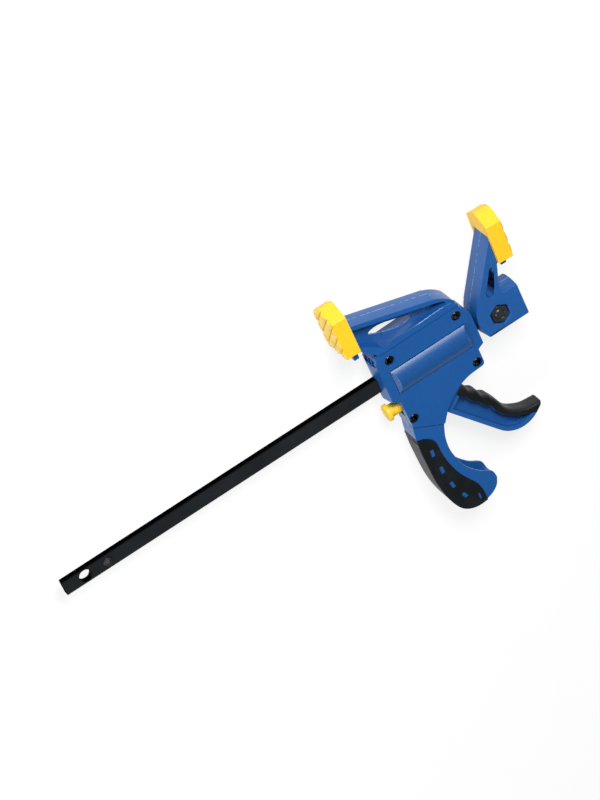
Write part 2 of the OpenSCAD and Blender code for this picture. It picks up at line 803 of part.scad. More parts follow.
// Space in which the trigger's root and arm swing, open through the body's lower edge.
module trigger_chamber() {
    polygon([pivot + [-14, 27], pivot + [14, 27], pivot + [20, 6], pivot + [21, -10],
        pivot + [19, -26], pivot + [-10, -44], pivot + [-37, -33], pivot + [-33, -17],
        pivot + [-17, 2]]);
}

module spaces() {
    bar_slot(-front_crown - 2, body_length + 1);
    slab(chamber_half) brake_chamber();
    slab(chamber_half) drive_chamber();
    rod_x(drive_back - 2, rear_wall_x, drive_spring_d + 1);
    slab(trigger_half + 0.6) trigger_chamber();
    translate([pivot[0], pivot[1], -trigger_half - 3.5])
        cylinder(h = 2 * (trigger_half + 3.5), d = trigger_pin_d);
    translate([0, -brake_spring_drop, 0])
        rod_x(partition_x - 1, partition_x + spring_seat, brake_spring_d + 0.6);
    translate([0, -button_drop, 0])
        rod_x(0, lower_front + button_wall + 1, button_stem + 2 * run_gap);
    along_x(0, lower_front + button_wall + 1)
        translate([-button_drop - button_slot, -button_stem / 2 + 0.4])
            square([button_slot, button_stem - 0.8]);
    for (p = liner_places)
        along_x(p[0], p[0] + liner_length) translate([p[1] * (bar_width / 2 + bar_gap)
            - (p[1] < 0 ? liner_thick : 0), -liner_half]) square([liner_thick, 2 * liner_half]);
}

module screw_holes() {
    for (p = screw_places) translate([p[0], p[1], 0]) {
        translate([0, 0, body_half - screw_recess]) cylinder(h = 5, d = screw_recess_d);
        translate([0, 0, split_z - 1]) cylinder(h = body_half, d = screw_d + 0.5);
    }
}

module screw_bores() {
    for (p = screw_places)
        translate([p[0], p[1], body_half - screw_recess - screw_length - 2])
            cylinder(h = screw_length + 10, d = screw_d + 0.1);
}

module body() {
    on_body() color(blue) difference() {
        union() {
            difference() {
                union() {
                    moving_jaw();
                    slab(body_half) jaw_band();
                }
                layer(split_z, body_half + 1) body_outline();
            }
            layer(-body_half, split_z) body_outline();
            intersection() {
                front_bulge();
                layer(-body_half - 1, split_z) square(300, center = true);
            }
            mirror([0, 0, 1]) ridge();
            handle();
        }
        spaces();
        screw_bores();
        front_slot();
    }
}

module cover() {
    on_body() color(blue) difference() {
        union() {
            layer(split_z, body_half) body_outline(seam_gap);
            intersection() {
                front_bulge();
                layer(split_z, body_half + 1) square(300, center = true);
            }
            ridge();
        }
        spaces();
        screw_holes();
        front_slot();
    }
}

// ---------- small parts in the body ----------

// Places of the two steel liners: under the bar in front and over it at the rear.
liner_length = 8;
liner_thick = 1.6;
liner_half = bar_thick / 2 - 0.2;
liner_places = [[1, -1], [body_length - 9.5, 1]];

module bar_liners() {
    on_body() color(steel) for (p = liner_places)
        along_x(p[0], p[0] + liner_length) translate([p[1] * (bar_width / 2 + bar_gap)
            - (p[1] < 0 ? liner_thick : 0), -liner_half]) square([liner_thick, 2 * liner_half]);
}

module cover_screw() {
    rise = 0.9;
    cross = 0.58 * screw_head_d;
    translate([0, 0, body_half - screw_recess]) difference() {
        union() {
            cylinder(h = screw_head_h - rise, d = screw_head_d);
            translate([0, 0, screw_head_h - rise - eps])
                cylinder(h = rise + eps, d1 = screw_head_d, d2 = screw_head_d - 2.4);
            translate([0, 0, -screw_length]) cylinder(h = screw_length + eps, d = screw_d);
            translate([0, 0, -screw_length - 1.2])
                cylinder(h = 1.2 + eps, d1 = 1.2, d2 = screw_d);
        }
        for (turn = [20, 110]) rotate(turn) translate([-cross / 2, -0.65, screw_head_h - 1.7])
            cube([cross, 1.3, 3]);
    }
}

module cover_screws() {
    on_body() color(black) for (p = screw_places) translate([p[0], p[1], 0]) cover_screw();
}

module trigger_pin() {
    on_body() translate([pivot[0], pivot[1], -trigger_half - 3.3]) color(steel)
        cylinder(h = 2 * (trigger_half + 3.3), d = trigger_pin_d - 0.02);
}

// ---------- trigger ----------

// Moves a drawing along the blade's straight lower edge to its place in the body.
module on_blade() {
    translate(blade_at) rotate(blade_turn) children();
}

// The rubber is thick at each finger rest and thin between them.
function scallop(t) = cos(360 * (t - 5) / scallop_pitch);
// Top of the rubber: three finger rests, then a sweep up to the tip.
blade_top = concat(
    [for (t = [0 : 2 : 40]) [t, 28.6 - 0.02 * t + scallop_high * scallop(t)]],
    curve([[43, 28], [47, 27.2], [51, 26.2], [57, 24.2], [63, 23], [69, 23.4], [74.5, 25.2],
        [80, 27.6], [84.8, 30.4], [90, 35.3], [94.6, 40.2]], 3));
blade_tip = [[95.8, 41.5], [97.1, 40.2], [97.2, 36]];
// Edge between the rubber and the plastic below it.
blade_mid = [for (p = concat(
    [for (t = [0 : 2 : 46]) [t, 28.9 - 0.6 * scallop(t)]],
    curve([[50, 27.4], [55, 26.4], [61, 26], [66, 26.3], [75, 27.9], [82.7, 31.2], [90.5, 35.2],
        [97.2, 39.9]], 3))) p - [0, rubber_thick]];

// The blade's outer lower edge: straight, then round to below the tip.
blade_low = concat([[0, 0]], arc([blade_straight, blade_r], blade_r, -90, -4, 16));

module rubber_outline(drop = 0) {
    polygon(concat([for (p = concat(blade_top, blade_tip)) p - [0, drop]],
        backwards(blade_mid)));
}

// The rubber's upper edges are rounded in steps.
module rubber_bulk() {
    for (step = [[0, 2.2], [1, 1], [2.4, 0.3], [4.2, 0]])
        slab(trigger_half - step[0]) rubber_outline(step[1]);
}

// Plastic of the blade, up to the rubber.
module blade_outline() {
    polygon(concat(blade_low, backwards(blade_mid)));
}

// A core of plastic that the trigger's rubber is moulded round.
module rubber_core() {
    half = trigger_half - 2.5;
    top = [for (p = blade_top) if (p[0] > 1 && p[0] < 86) p - [0, 3]];
    low = [for (p = blade_mid) if (p[0] > 1 && p[0] < 86) p - [0, 1]];
    slab(half) polygon(concat(top, backwards(low)));
}

module trigger_rubber() {
    on_body() color(black) difference() {
        on_blade() rubber_bulk();
        on_blade() rubber_core();
        trigger_arm();
    }
}

// Arm above the pin whose round nose pushes the drive plates.
module trigger_arm() {
    boss_r = 7.5;
    side = nose_r - 0.3;
    slab(trigger_half - 1.5) {
        translate(pivot) circle(r = boss_r);
        translate(nose_at) circle(r = nose_r);
        polygon([pivot + [-boss_r + 0.6, 1], nose_at + [-side, 0], nose_at + [side, 0],
            [nose_at[0] + side, pivot[1] + boss_r - 1], pivot + [2, 5.5]]);
        polygon([pivot + [-boss_r + 0.4, 0.5], pivot + [boss_r - 0.4, 0.5],
            blade_at + [22.5, 14.5], blade_at + [0.5, 0.8]]);
    }
}

module trigger() {
    on_body() color(blue) difference() {
        union() {
            trigger_arm();
            difference() {
                on_blade() slab(trigger_half) blade_outline();
                for (m = [0, 1]) mirror([0, 0, m]) on_blade()
                    layer(trigger_web, trigger_half + 1) trigger_hollow();
            }
            on_blade() rubber_core();
        }
        translate([pivot[0], pivot[1], -trigger_half - 1])
            cylinder(h = 2 * trigger_half + 2, d = trigger_pin_d + 2 * pin_gap);
        for (m = [0, 1]) mirror([0, 0, m]) on_blade()
            for (p = [[14, 12.3], [81, 14]])
                translate([p[0], p[1], trigger_web - 0.8]) cylinder(h = 5, r = 3.2);
    }
}

// Hollow on each side of the blade between its rim and the rubber.
module trigger_hollow() {
    polygon(concat([[4, trigger_rim]],
        arc([blade_straight, blade_r], blade_r - trigger_rim, -90, -4, 14),
        [[88, 34], [70, 20], [4, 24]]));
}

// ---------- drive and brake ----------

module plate_hole(slack) {
    square([bar_width + 2 * slack, bar_thick + 2 * slack], center = true);
}

module drive_plates() {
    on_body() color(steel) for (k = [0 : drive_plates - 1])
        along_x(drive_x + k * drive_plate, drive_x + (k + 1) * drive_plate - 0.05) difference() {
            translate([-drive_foot, -drive_half])
                square([drive_foot + drive_top, 2 * drive_half]);
            plate_hole(bar_gap);
        }
}

module drive_spring() {
    on_body() translate([drive_back + run_gap, 0, 0]) color(steel)
        coil(rear_wall_x - drive_back - run_gap, drive_spring_d, drive_wire, drive_turns);
}

module brake_plate() {
    slack = 0.3;
    on_body() translate(brake_pivot) rotate(-brake_tilt) translate(-brake_pivot)
        color(steel) along_x(brake_pivot[0] - brake_plate / 2, brake_pivot[0] + brake_plate / 2)
            difference() {
                translate([-brake_foot + 0.5, -brake_half])
                    square([brake_foot - 0.5 + brake_top, 2 * brake_half]);
                square([bar_width + 2 * slack + brake_plate * sin(brake_tilt),
                    bar_thick + 2 * slack], center = true);
            }
}

function brake_spring_x() = brake_pivot[0]
    - (brake_spring_drop - brake_spring_d / 2 + brake_pivot[1]) * tan(brake_tilt)
    + brake_plate / 2 / cos(brake_tilt) + 0.1;
function brake_spring_length() = partition_x + spring_seat - brake_spring_x();

module brake_spring() {
    on_body() translate([brake_spring_x(), -brake_spring_drop, 0]) color(steel)
        coil(brake_spring_length(), brake_spring_d, brake_wire, brake_turns);
}

module release_button() {
    collar = 1.6;
    tip = brake_face_x - run_gap;
    inner = lower_front + button_wall + run_gap;
    on_body() translate([0, -button_drop, 0]) color(yellow) {
        rod_x(-button_out + 1, -button_out + button_head, button_d);
        translate([-button_out, 0, 0]) rotate([0, 90, 0])
            cylinder(h = 1 + eps, d1 = button_d - 2, d2 = button_d);
        rod_x(-button_out + button_head - eps, inner, button_stem);
        rod_x(inner - eps, inner + collar, button_stem + 2.4);
        rod_x(inner + collar - eps, tip, 5);
    }
}

bar();
stop_pin();
fixed_jaw();
fixed_pad();
jaw_bolt();
jaw_nut();
jaw_bush();
body();
cover();
cover_screws();
moving_pad();
handle_grip();
bar_liners();
trigger();
trigger_rubber();
trigger_pin();
drive_plates();
drive_spring();
brake_plate();
brake_spring();
release_button();
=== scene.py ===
"""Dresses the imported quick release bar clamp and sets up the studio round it.

Every CAD node gets a finished piece: a casting of the node's own shape with its moulded or worked
edges rounded, or a piece modelled anew where the real one has a fuller form. Lengths are in metres
in the clamp's frame: the bar runs along X, the jaws stand along +Y and the clamp lies on Z = 0.
"""

import json
import logging
import math
from dataclasses import dataclass
from enum import Enum
from typing import Iterable, Sequence, Union

import bmesh
import bpy
from bmesh.types import BMEdge, BMesh, BMFace
from mathutils import Matrix, Vector
from mathutils.bvhtree import BVHTree


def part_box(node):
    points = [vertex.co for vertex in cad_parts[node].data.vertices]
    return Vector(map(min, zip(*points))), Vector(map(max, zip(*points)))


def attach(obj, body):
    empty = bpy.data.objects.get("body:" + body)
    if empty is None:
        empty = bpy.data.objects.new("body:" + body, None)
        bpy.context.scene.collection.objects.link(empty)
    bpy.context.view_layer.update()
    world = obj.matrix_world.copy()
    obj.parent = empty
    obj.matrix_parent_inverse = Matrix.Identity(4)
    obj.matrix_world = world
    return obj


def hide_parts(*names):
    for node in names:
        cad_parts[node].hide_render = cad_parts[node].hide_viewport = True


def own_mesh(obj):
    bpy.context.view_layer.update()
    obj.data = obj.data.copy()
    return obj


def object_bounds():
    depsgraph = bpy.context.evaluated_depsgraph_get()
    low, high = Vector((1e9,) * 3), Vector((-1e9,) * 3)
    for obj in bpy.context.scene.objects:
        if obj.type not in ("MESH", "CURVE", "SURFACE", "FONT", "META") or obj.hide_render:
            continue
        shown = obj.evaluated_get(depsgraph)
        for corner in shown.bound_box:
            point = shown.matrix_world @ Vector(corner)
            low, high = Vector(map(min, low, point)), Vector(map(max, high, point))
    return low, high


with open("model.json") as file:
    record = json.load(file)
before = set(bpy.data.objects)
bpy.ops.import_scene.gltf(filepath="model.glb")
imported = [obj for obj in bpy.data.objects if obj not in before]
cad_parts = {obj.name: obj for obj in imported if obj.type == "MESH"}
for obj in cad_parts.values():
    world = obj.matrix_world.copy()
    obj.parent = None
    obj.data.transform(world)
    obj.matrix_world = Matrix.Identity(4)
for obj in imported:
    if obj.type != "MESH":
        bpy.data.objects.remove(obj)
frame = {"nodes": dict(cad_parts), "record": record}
CAD_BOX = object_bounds()

LOG = logging.getLogger("bar_clamp")
MM = 0.001
# Marks rounded outer edges and pad block tops; the finishes paint them as wear, and on plastics
# also as painted highlight and painted sheen.
EDGE_MARK = "wear_and_highlight"
WELD = 2e-6
FLAT = math.radians(0.4)
NO_LENGTH = 1e-12
CUT_SLACK = 1e-7

Colour = tuple[float, float, float]


class Slot(Enum):
    """The record's material slots."""

    BAR = "bar_finish"
    PIN = "pin_black"
    JAW = "jaw_plastic"
    PAD = "pad_plastic"
    BOLT = "bolt_black"
    GRIP = "grip_rubber"
    STEEL = "steel"
    SPRING = "spring_steel"


# ---------- shader graphs ----------


class Signal:
    """A number that varies over a surface, written as a Python value."""

    def __init__(self, graph: "Graph", socket: bpy.types.NodeSocket) -> None:
        """Wraps one output socket of a graph."""
        self.graph = graph
        self.socket = socket

    def _maths(self, operation: str, *operands: "Number") -> "Signal":
        """Adds one Math node on the operands."""
        node = self.graph.node(
            "ShaderNodeMath", {"operation": operation}, dict(enumerate(operands)))
        return Signal(self.graph, node.outputs[0])

    def __add__(self, other: "Number") -> "Signal":
        """Sum."""
        return self._maths("ADD", self, other)

    def __sub__(self, other: "Number") -> "Signal":
        """Difference."""
        return self._maths("SUBTRACT", self, other)

    def __rsub__(self, other: "Number") -> "Signal":
        """Difference from a plain number."""
        return self._maths("SUBTRACT", other, self)

    def __mul__(self, other: "Number") -> "Signal":
        """Product."""
        return self._maths("MULTIPLY", self, other)

    __radd__ = __add__
    __rmul__ = __mul__

    def least(self, other: "Number") -> "Signal":
        """The smaller of the two."""
        return self._maths("MINIMUM", self, other)

    def distance(self, other: "Number") -> "Signal":
        """The size of the difference."""
        return (self - other)._maths("ABSOLUTE", self - other)

    def fade(self, start: float, end: float) -> "Signal":
        """A smooth step from 0 at start to 1 at end.

        Args:
            start: Value at which the step begins.
            end: Value at which the step is complete. It may be below start.

        Returns:
            The step, between 0 and 1.
        """
        node = self.graph.node(
            "ShaderNodeMapRange",
            {"interpolation_type": "SMOOTHSTEP"},
            {"Value": self, "From Min": start, "From Max": end},
        )
        return Signal(self.graph, node.outputs["Result"])


Number = Union[Signal, float]


class Graph:
    """The node tree of one material, or of the studio's world."""

    def __init__(self, holder: Union[bpy.types.Material, bpy.types.World]) -> None:
        """Empties the holder's node tree."""
        holder.use_nodes = True
        self.tree = holder.node_tree
        self.tree.nodes.clear()
        self.coordinates = self.node("ShaderNodeTexCoord", {}, {}).outputs

    def node(self, kind: str, settings: dict, inputs: dict) -> bpy.types.Node:
        """Adds a node.

        Args:
            kind: The node's type.
            settings: Properties that are set first.
            inputs: Values or links by socket name or number.

        Returns:
            The new node.
        """
        node = self.tree.nodes.new(kind)
        for key, value in settings.items():
            setattr(node, key, value)
        for key, value in inputs.items():
            socket = node.inputs[key]
            source = value.socket if isinstance(value, Signal) else value
            if isinstance(source, bpy.types.NodeSocket):
                self.tree.links.new(source, socket)
            else:
                socket.default_value = source
        return node

    def place(self, axis: str) -> Signal:
        """The place along one axis of the object, in metres."""
        node = self.node("ShaderNodeSeparateXYZ", {}, {"Vector": self.coordinates["Object"]})
        return Signal(self, node.outputs[axis.upper()])

    def mapped(self, stretch: Sequence[float]) -> bpy.types.NodeSocket:
        """The object's places stretched by a factor along each axis, for a pattern to read."""
        inputs = {"Vector": self.coordinates["Object"], "Scale": tuple(stretch)}
        return self.node("ShaderNodeMapping", {}, inputs).outputs["Vector"]

    def noise(self, per_mm: float, detail: float = 3.0,
              stretch: Sequence[float] = (1, 1, 1)) -> Signal:
        """Soft noise about 0.5.

        Args:
            per_mm: Blotches in a millimetre.
            detail: Octaves.
            stretch: Extra factor along each axis.

        Returns:
            The noise.
        """
        inputs = {
            "Vector": self.mapped(stretch),
            "Scale": per_mm / MM,
            "Detail": detail,
            "Roughness": 0.55,
        }
        return Signal(self, self.node("ShaderNodeTexNoise", {}, inputs).outputs["Fac"])

    def cells(self, per_mm: float) -> Signal:
        """Distance from the nearest of many scattered points, as in spark grain."""
        inputs = {"Vector": self.coordinates["Object"], "Scale": per_mm / MM}
        node = self.node("ShaderNodeTexVoronoi", {"feature": "F1"}, inputs)
        return Signal(self, node.outputs["Distance"])

    def mark(self, name: str) -> Signal:
        """A number that the piece's own mesh carries."""
        node = self.node("ShaderNodeAttribute", {"attribute_name": name}, {})
        return Signal(self, node.outputs["Fac"])

    def facing(self, direction: Sequence[float]) -> Signal:
        """How far the surface faces a direction of the object, from -1 to 1."""
        node = self.node(
            "ShaderNodeVectorMath", {"operation": "DOT_PRODUCT"},
            {0: self.coordinates["Normal"], 1: tuple(direction)})
        return Signal(self, node.outputs["Value"])

    def mix(self, share: Number, low: "Paint", high: "Paint") -> bpy.types.NodeSocket:
        """A colour between two others.

        Args:
            share: 0 gives low and 1 gives high.
            low: Colour or colour socket.
            high: Colour or colour socket.

        Returns:
            The mixed colour's socket.
        """
        ends = [(*c, 1) if isinstance(c, tuple) else c for c in (low, high)]
        node = self.node(
            "ShaderNodeMix", {"data_type": "RGBA"}, {"Factor": share, "A": ends[0], "B": ends[1]})
        return node.outputs["Result"]

    def relief(self, height: Signal, depth_mm: float,
               below: bpy.types.NodeSocket | None = None) -> bpy.types.NodeSocket:
        """A bump from a height between 0 and 1.

        Args:
            height: The pattern.
            depth_mm: The pattern's full depth in millimetres.
            below: Normal of a bump that lies under this one.

        Returns:
            The bent normal's socket.
        """
        inputs = {"Height": height, "Distance": depth_mm * MM, "Strength": 1.0}
        if below is not None:
            inputs["Normal"] = below
        return self.node("ShaderNodeBump", {}, inputs).outputs["Normal"]

    def seen(self, *kinds: str) -> "Signal":
        """1 for rays of the named kinds, such as Camera, and 0 for others."""
        path = self.node("ShaderNodeLightPath", {}, {}).outputs
        rays = [Signal(self, path[f"Is {kind} Ray"]) for kind in kinds]
        return sum(rays[1:], rays[0]).least(1.0)

    def finish(self, inputs: dict) -> None:
        """Closes the graph with its surface shader.

        Args:
            inputs: Values or links of the Principled shader.
        """
        shader = self.node("ShaderNodeBsdfPrincipled", {}, inputs)
        self.node("ShaderNodeOutputMaterial", {}, {"Surface": shader.outputs["BSDF"]})


Paint = Union[Colour, bpy.types.NodeSocket]


def srgb(red: int, green: int, blue: int) -> Colour:
    """A screen colour as the linear values that the shaders take."""
    def linear(value: int) -> float:
        """One channel."""
        share = value / 255
        return share / 12.92 if share <= 0.04045 else ((share + 0.055) / 1.055) ** 2.4
    return linear(red), linear(green), linear(blue)


def toned(colour: Colour, factor: float) -> Colour:
    """The colour made lighter or darker."""
    return tuple(min(1.0, channel * factor) for channel in colour)


# ---------- finishes ----------


@dataclass(frozen=True)
class Finish:
    """What a surface is made of, ready to be painted as a material."""

    name: str

    def draw(self, graph: Graph) -> None:
        """Draws the finish's nodes."""
        raise NotImplementedError

    def paint(self) -> bpy.types.Material:
        """Makes the material."""
        material = bpy.data.materials.new(self.name)
        self.draw(Graph(material))
        return material


@dataclass(frozen=True)
class MouldedPlastic(Finish):
    """Moulded plastic with spark grain, flow shades, edges painted pale as wear and painted
    highlight, a ridge painted darker as painted shade, and a parting line painted as a pale
    highlight.
    """

    colour: Colour
    edge: Colour
    roughness: float = 0.3
    grain_mm: float = 0.5
    grain_depth: float = 0.02
    coarse_above: float | None = None
    parting: float | None = None

    def draw(self, graph: Graph) -> None:
        """Draws the finish's nodes."""
        shade = graph.noise(0.012, 2.0)
        mottle = graph.noise(0.35, 4.0)
        grain = graph.noise(1 / self.grain_mm, 3.0)
        rubbed_and_highlight = graph.mark(EDGE_MARK) * graph.noise(0.11, 4.0).fade(0.3, 0.62)
        rough = mottle * 0.12 + (self.roughness - 0.06) - rubbed_and_highlight * 0.12
        depth = (shade * 0.5 + mottle * 0.5).fade(0.28, 0.74)
        base = graph.mix(depth, toned(self.colour, 0.92), toned(self.colour, 1.07))
        if self.coarse_above is not None:
            raised = graph.place("z").fade(self.coarse_above, self.coarse_above + 0.8 * MM)
            light = graph.noise(0.75, 2.0).fade(0.5, 0.68) * raised
            dark = graph.noise(0.6, 2.0, (1, 1.3, 1)).fade(0.52, 0.66) * raised
            # The raised ridge is painted darker as painted shade, with random pale and dark specks
            # over it.
            base = graph.mix(raised * 0.8, base, toned(self.colour, 0.8))
            base = graph.mix(light * 0.35, base, toned(self.colour, 1.3))
            base = graph.mix(dark * 0.4, base, toned(self.colour, 0.55))
            grain = grain + raised * graph.noise(0.9, 2.0) * 2.2
            rough = rough + raised * 0.06
        if self.parting is not None:
            # The parting line is painted as a pale dashed line: a painted highlight.
            upright = graph.facing((0, 0, 1)).distance(0.0).fade(0.5, 0.3)
            line = graph.place("z").distance(self.parting).fade(0.45 * MM, 0.3 * MM) * upright
            line = line * graph.noise(0.25, 3.0).fade(0.44, 0.54)
            base = graph.mix(line * 0.75, base, toned(self.edge, 1.5))
        # Edge faces painted pale: partly rubbed wear, partly painted highlight.
        base = graph.mix(rubbed_and_highlight * 0.85, base, self.edge)
        graph.finish({
            "Base Color": base,
            "Roughness": rough,
            "IOR": 1.5,
            "Specular IOR Level": 0.5,
            "Normal": graph.relief(grain, self.grain_depth),
        })


@dataclass(frozen=True)
class SoftRubber(Finish):
    """Matt rubber with fine pits, a bloom of dust and shiny, handled edges."""

    colour: Colour
    dust: Colour
    roughness: float = 0.46

    def draw(self, graph: Graph) -> None:
        """Draws the finish's nodes."""
        pits = graph.cells(1.4).fade(0.05, 0.55)
        cloud = graph.noise(0.05, 5.0).fade(0.42, 0.75)
        fine = graph.noise(2.2, 2.0)
        handled = graph.mark(EDGE_MARK) * graph.noise(0.15, 3.0).fade(0.3, 0.7)
        base = graph.mix(cloud * 0.35 + handled * 0.4, self.colour, self.dust)
        graph.finish({
            "Base Color": base,
            "Roughness": fine * 0.12 + (self.roughness - 0.06) + cloud * 0.08 - handled * 0.1,
            "Specular IOR Level": 0.3,
            "Normal": graph.relief(fine, 0.012, graph.relief(pits, 0.02)),
        })


@dataclass(frozen=True)
class BlackenedSteel(Finish):
    """Black oxide or paint over steel, drawn along X, with bare steel at worn edges."""

    colour: Colour
    bare: Colour
    roughness: float = 0.34
    drawn: float = 14.0
    wear: float = 0.6

    def draw(self, graph: Graph) -> None:
        """Draws the finish's nodes."""
        lines = graph.noise(0.9, 3.0, (1 / self.drawn, 1, 1))
        cloud = graph.noise(0.03, 4.0)
        peel = graph.noise(1.1, 2.0)
        worn = graph.mark(EDGE_MARK) * graph.noise(0.4, 5.0, (0.35, 1, 1)).fade(0.35, 0.6)
        nick = graph.noise(0.5, 2.0, (0.12, 1, 1)).fade(0.71, 0.76)
        bared = (worn * self.wear + nick * 0.35).least(1.0)
        tone = graph.mix(cloud.fade(0.3, 0.7), toned(self.colour, 0.8), toned(self.colour, 1.25))
        graph.finish({
            "Base Color": graph.mix(bared, tone, self.bare),
            "Metallic": bared * 0.7 + 0.15,
            "Roughness": lines * 0.14 + (self.roughness - 0.07) + cloud * 0.06,
            "Specular IOR Level": 0.5,
            "Normal": graph.relief(peel, 0.008, graph.relief(lines, 0.012)),
        })


@dataclass(frozen=True)
class PaintedBar(Finish):
    """The drawn bar's paint: satin on the wide faces, flat on the narrow ones, whose near-black
    colour is painted shade.
    """

    wide: Colour
    narrow: Colour
    bare: Colour
    roughness: float = 0.34

    def draw(self, graph: Graph) -> None:
        """Draws the finish's nodes."""
        lines = graph.noise(0.9, 3.0, (0.06, 1, 1))
        cloud = graph.noise(0.02, 4.0)
        peel = graph.noise(0.8, 2.0)
        edge_on = graph.facing((0, 1, 0)).distance(0.0).fade(0.55, 0.85)
        worn = graph.mark(EDGE_MARK) * graph.noise(0.25, 5.0, (0.3, 1, 1)).fade(0.52, 0.7)
        scratch = graph.noise(0.6, 2.0, (0.05, 1, 1)).fade(0.72, 0.77) * (1 - edge_on)
        bared = (worn * 0.3 + scratch * 0.25).least(1.0)
        satin = graph.mix(cloud.fade(0.3, 0.7), toned(self.wide, 0.85), toned(self.wide, 1.2))
        # The narrow faces' near-black colour is painted shade.
        tone = graph.mix(edge_on, satin, self.narrow)
        graph.finish({
            "Base Color": graph.mix(bared, tone, self.bare),
            "Metallic": bared * 0.6,
            "Roughness": lines * 0.12 + (self.roughness - 0.06) + cloud * 0.08,
            "Specular IOR Level": 0.0,
            "Coat Weight": graph.facing((0, 0, 1)).distance(0.0).fade(0.9, 0.98) * 0.32,
            "Coat Roughness": 0.3,
            "Normal": graph.relief(peel, 0.006, graph.relief(lines, 0.01)),
        })


@dataclass(frozen=True)
class BareSteel(Finish):
    """Bright worked steel with grinding lines, a film of oil and dull patches."""

    colour: Colour
    roughness: float = 0.3
    lines: tuple[float, float, float] = (1, 0.08, 1)

    def draw(self, graph: Graph) -> None:
        """Draws the finish's nodes."""
        ground = graph.noise(3.0, 3.0, self.lines)
        film = graph.noise(0.12, 5.0).fade(0.4, 0.7)
        bright = graph.mark(EDGE_MARK) * 0.6
        tone = graph.mix(film, self.colour, toned(self.colour, 0.62))
        graph.finish({
            "Base Color": graph.mix(bright, tone, toned(self.colour, 1.3)),
            "Metallic": 1.0,
            "Roughness": ground * 0.16 + (self.roughness - 0.08) + film * 0.1,
            "Normal": graph.relief(ground, 0.01),
        })


BLUE = srgb(26, 85, 152)
# A pale blue painted on edge faces, partly as wear and partly as painted highlight, and on the
# parting line as painted highlight.
BLUE_WEAR_AND_HIGHLIGHT = srgb(108, 156, 214)
YELLOW = srgb(252, 200, 34)
# The pale yellow is painted on pad and button edges as wear and painted highlight, and on pad tops
# as painted sheen.
YELLOW_WEAR_AND_HIGHLIGHT = srgb(255, 232, 120)
COARSE_START = 0.4 * MM


@dataclass(frozen=True)
class Finishes:
    """The clamp's finishes, each painted once."""

    shell: bpy.types.Material
    jaw: bpy.types.Material
    pad: bpy.types.Material
    button: bpy.types.Material
    rubber: bpy.types.Material
    bar: bpy.types.Material
    fastener: bpy.types.Material
    screw: bpy.types.Material
    plate: bpy.types.Material
    spring: bpy.types.Material


def paint_finishes(screw_top: float, parting: float) -> Finishes:
    """Paints all finishes.

    Args:
        screw_top: Height of the cover screws' tops. Just above it the ridge is coarsely grained
            and painted darker as painted shade.
        parting: Height at which the moulds of the jaws part.

    Returns:
        The finishes.
    """
    return Finishes(
        shell=MouldedPlastic(
            "shell_blue", BLUE, BLUE_WEAR_AND_HIGHLIGHT, coarse_above=screw_top + COARSE_START,
            parting=parting).paint(),
        jaw=MouldedPlastic("jaw_blue", BLUE, BLUE_WEAR_AND_HIGHLIGHT, 0.46, parting=parting).paint(),
        pad=MouldedPlastic("pad_yellow", YELLOW, YELLOW_WEAR_AND_HIGHLIGHT, 0.5, 0.7, 0.012).paint(),
        button=MouldedPlastic("button_yellow", YELLOW, YELLOW_WEAR_AND_HIGHLIGHT, 0.48, 0.6, 0.01).paint(),
        rubber=SoftRubber("rubber_black", srgb(16, 20, 22), srgb(36, 41, 44)).paint(),
        # The second colour is the narrow faces' painted shade.
        bar=PaintedBar("bar_black", srgb(30, 33, 35), srgb(3, 3, 4), srgb(120, 118, 114)).paint(),
        # A wear of 0.9 bares the fastener's edges all round as continuous pale rings: partly wear,
        # partly painted highlight.
        fastener=BlackenedSteel(
            "fastener_black", srgb(44, 47, 50), srgb(200, 200, 198), 0.26, 1.0, 0.9).paint(),
        screw=BlackenedSteel(
            "screw_black", srgb(8, 8, 9), srgb(130, 128, 124), 0.26, 1.0, 0.4).paint(),
        plate=BareSteel("plate_steel", srgb(176, 176, 172)).paint(),
        spring=BareSteel("spring_steel", srgb(150, 150, 150), 0.26, (1, 1, 1)).paint(),
    )


# ---------- modelling ----------


